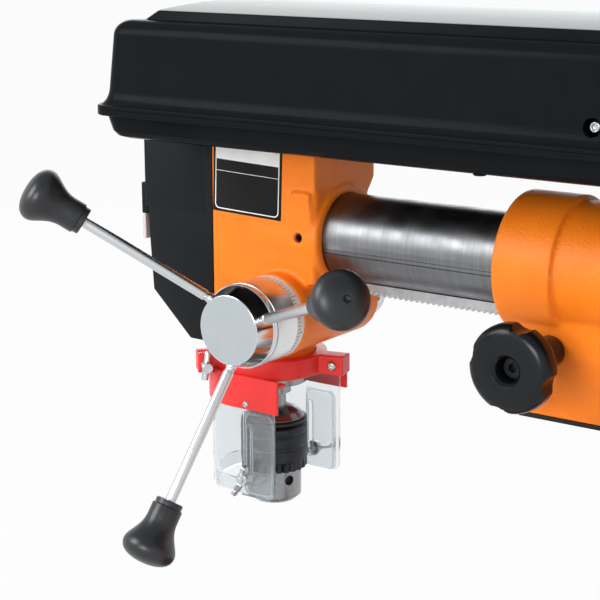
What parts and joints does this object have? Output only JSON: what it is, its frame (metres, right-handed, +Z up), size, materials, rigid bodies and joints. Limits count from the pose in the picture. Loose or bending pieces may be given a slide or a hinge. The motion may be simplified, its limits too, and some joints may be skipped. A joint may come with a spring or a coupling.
{
  "type": "radial drill press",
  "caption": "Bench radial drill press: a tilting drilling head on a rack-driven ram in a swivelling support on a column, with a belt cover, rise-and-fall round table and a clear chuck guard.",
  "frame": {"origin": "centre of the four bench bolt holes, on the base's underside", "axes": "+Z up along the column, -Y toward the operator, +X toward the feed handles"},
  "size_m": [0.3294, 0.847, 0.8528],
  "materials": {
    "orange_paint": "glossy orange enamel over castings",
    "black_paint": "glossy black paint",
    "red_paint": "satin red",
    "bright_steel": "ground and turned steel",
    "chrome": "bright plated",
    "bare_iron": "machined grey iron",
    "black_plastic": "fine-grained black moulding",
    "black_chuck": "blackened steel",
    "green_button": "glossy green",
    "red_button": "glossy red",
    "clear_shield": "clear polycarbonate",
    "belt_rubber": "matt black rubber"
  },
  "bodies": {
    "stand": {"base": "orange_paint", "column_flange": "orange_paint", "flange_bolts": "bright_steel", "column": "bright_steel", "rack_collar": "orange_paint"},
    "rack_ring": {"column_rack": "bright_steel"},
    "table_arm": {"table_arm": "orange_paint"},
    "lift_crank": {"table_crank": "bright_steel"},
    "crank_grip": {"crank_grip": "black_plastic"},
    "arm_lock": {"table_lock": "black_plastic"},
    "table": {"table": "bare_iron"},
    "table_clamp": {"table_clamp": "black_plastic"},
    "support": {"support": "orange_paint", "pinion_cover": "black_paint"},
    "ram_drive": {"ram_pinion": "bright_steel", "ram_knob": "black_plastic", "knob_screw": "bright_steel"},
    "ram_lock": {"ram_lock": "black_plastic"},
    "swivel_lock": {"swivel_lock": "black_plastic"},
    "ram_rack": {"ram_rack": "bright_steel"},
    "head": {"ram_tube": "bright_steel", "head": "orange_paint", "collar_screw": "bright_steel", "switch_box": "black_plastic", "switch_bezel": "black_plastic", "spring_cap": "bright_steel", "return_spring": "bright_steel", "belt_tray": "black_paint", "lid_hinges": "black_paint", "sleeve_bearings": "bright_steel", "drive_belt": "belt_rubber", "motor_bracket": "orange_paint", "motor": "black_paint"},
    "start_button": {"start_button": "green_button"},
    "stop_button": {"stop_button": "red_button"},
    "feed": {"feed_shaft": "bright_steel", "feed_hub": "chrome", "handle_rods": "chrome", "handle_knobs": "black_plastic"},
    "depth_ring": {"depth_ring": "chrome"},
    "quill": {"quill": "bright_steel", "quill_bearings": "bright_steel"},
    "spindle": {"spindle": "bright_steel", "chuck_body": "bright_steel"},
    "chuck_sleeve": {"chuck_sleeve": "black_chuck"},
    "chuck_jaw_1": {"chuck_jaw_1": "bright_steel"},
    "chuck_jaw_2": {"chuck_jaw_2": "bright_steel"},
    "chuck_jaw_3": {"chuck_jaw_3": "bright_steel"},
    "guard": {"guard_ring": "red_paint", "guard_clamp_screw": "chrome", "guard_holder": "red_paint", "guard_shield": "clear_shield", "guard_fasteners": "chrome"},
    "guard_slide": {"guard_slide": "clear_shield"},
    "lid": {"belt_lid": "black_paint", "lid_screw": "chrome"},
    "spindle_drive": {"drive_sleeve": "bright_steel", "spindle_pulley": "bare_iron"},
    "motor_drive": {"motor_pulley": "bare_iron", "motor_shaft": "bright_steel"}
  },
  "joints": [
    {"name": "table_swing", "type": "hinge", "parent": "stand", "child": "rack_ring", "pos_m": [0, 0.115, 0.3], "axis": [0, 0, 1], "range_deg": [-180, 180]},
    {"name": "table_lift", "type": "slide", "parent": "rack_ring", "child": "table_arm", "axis": [0, 0, 1], "range_m": [-0.07, 0.09]},
    {"name": "lift_turn", "type": "hinge", "parent": "table_arm", "child": "lift_crank", "pos_m": [0, 0.1718, 0.2412], "axis": [1, 0, 0], "range_deg": [-335, 431]},
    {"name": "grip_spin", "type": "hinge", "parent": "lift_crank", "child": "crank_grip", "pos_m": [0.11, 0.1718, 0.1362], "axis": [1, 0, 0], "continuous": true},
    {"name": "arm_lock_turn", "type": "hinge", "parent": "table_arm", "child": "arm_lock", "pos_m": [-0.064, 0.115, 0.2412], "axis": [0, 1, 0], "range_deg": [0, 70]},
    {"name": "table_turn", "type": "hinge", "parent": "table_arm", "child": "table", "pos_m": [0, -0.155, 0.29], "axis": [0, 0, 1], "range_deg": [-180, 180]},
    {"name": "table_clamp_turn", "type": "hinge", "parent": "table_arm", "child": "table_clamp", "pos_m": [-0.056, -0.155, 0.2347], "axis": [0, 1, 0], "range_deg": [-30, 70]},
    {"name": "support_swivel", "type": "hinge", "parent": "stand", "child": "support", "pos_m": [0, 0.115, 0.6], "axis": [0, 0, 1], "range_deg": [-180, 180]},
    {"name": "swivel_lock_turn", "type": "hinge", "parent": "support", "child": "swivel_lock", "pos_m": [-0.06, 0.115, 0.562], "axis": [1, 0, 0], "range_deg": [-45, 45]},
    {"name": "ram_lock_turn", "type": "hinge", "parent": "support", "child": "ram_lock", "pos_m": [-0.06, 0.17, 0.68], "axis": [1, 0, 0], "range_deg": [-45, 45]},
    {"name": "ram_slide", "type": "slide", "parent": "support", "child": "ram_rack", "axis": [0, -1, 0], "range_m": [-0.14, 0.08]},
    {"name": "ram_turn", "type": "hinge", "parent": "support", "child": "ram_drive", "pos_m": [0.06, 0.031, 0.6279], "axis": [1, 0, 0], "range_deg": [-669, 383]},
    {"name": "head_tilt", "type": "hinge", "parent": "ram_rack", "child": "head", "pos_m": [0, -0.16, 0.68], "axis": [0, 1, 0], "range_deg": [-45, 45]},
    {"name": "start_press", "type": "slide", "parent": "head", "child": "start_button", "axis": [0, 1, 0], "range_m": [0, 0.0025], "stiffness_N_per_m": 600, "springref_m": -0.002},
    {"name": "stop_press", "type": "slide", "parent": "head", "child": "stop_button", "axis": [0, 1, 0], "range_m": [0, 0.0025], "stiffness_N_per_m": 600, "springref_m": -0.002},
    {"name": "quill_feed", "type": "slide", "parent": "head", "child": "quill", "axis": [0, 0, -1], "range_m": [0, 0.07], "stiffness_N_per_m": 300, "springref_m": -0.2},
    {"name": "feed_turn", "type": "hinge", "parent": "head", "child": "feed", "pos_m": [0.05, -0.19146, 0.624], "axis": [1, 0, 0], "range_deg": [0, 267.6]},
    {"name": "depth_set", "type": "hinge", "parent": "feed", "child": "depth_ring", "pos_m": [0.065, -0.19146, 0.624], "axis": [1, 0, 0], "range_deg": [-180, 180]},
    {"name": "spindle_turn", "type": "hinge", "parent": "quill", "child": "spindle", "pos_m": [0, -0.23, 0.53], "axis": [0, 0, 1], "continuous": true},
    {"name": "sleeve_turn", "type": "hinge", "parent": "spindle", "child": "chuck_sleeve", "pos_m": [0, -0.23, 0.5], "axis": [0, 0, -1], "range_deg": [-420, 1440]},
    {"name": "jaw_1_grip", "type": "slide", "parent": "spindle", "child": "chuck_jaw_1", "axis": [-0.2079, 0, -0.9781], "range_m": [-0.00705, 0.02405]},
    {"name": "jaw_2_grip", "type": "slide", "parent": "spindle", "child": "chuck_jaw_2", "axis": [0.104, -0.1801, -0.9781], "range_m": [-0.00705, 0.02405]},
    {"name": "jaw_3_grip", "type": "slide", "parent": "spindle", "child": "chuck_jaw_3", "axis": [0.104, 0.1801, -0.9781], "range_m": [-0.00705, 0.02405]},
    {"name": "drive_turn", "type": "hinge", "parent": "head", "child": "spindle_drive", "pos_m": [0, -0.23, 0.78], "axis": [0, 0, 1], "continuous": true},
    {"name": "motor_turn", "type": "hinge", "parent": "head", "child": "motor_drive", "pos_m": [0, 0.42, 0.78], "axis": [0, 0, 1], "continuous": true},
    {"name": "guard_swing", "type": "hinge", "parent": "head", "child": "guard", "pos_m": [0, -0.23, 0.57], "axis": [0, 0, 1], "range_deg": [-90, 90]},
    {"name": "guard_drop", "type": "slide", "parent": "guard", "child": "guard_slide", "axis": [0, 0, -1], "range_m": [0, 0.038]},
    {"name": "lid_open", "type": "hinge", "parent": "head", "child": "lid", "pos_m": [-0.123, 0.04, 0.77765], "axis": [0, -1, 0], "range_deg": [0, 100]}
  ],
  "couplings": [
    {"joint": "lift_turn", "follows": "table_lift", "rad_per_m": 83.333},
    {"joint": "ram_turn", "follows": "ram_slide", "rad_per_m": 83.333},
    {"joint": "feed_turn", "follows": "quill_feed", "rad_per_m": 66.667},
    {"joint": "drive_turn", "follows": "spindle_turn", "ratio": 1},
    {"joint": "motor_turn", "follows": "spindle_turn", "ratio": 1},
    {"joint": "jaw_1_grip", "follows": "sleeve_turn", "m_per_rad": 0.00095493},
    {"joint": "jaw_2_grip", "follows": "sleeve_turn", "m_per_rad": 0.00095493},
    {"joint": "jaw_3_grip", "follows": "sleeve_turn", "m_per_rad": 0.00095493}
  ]
}
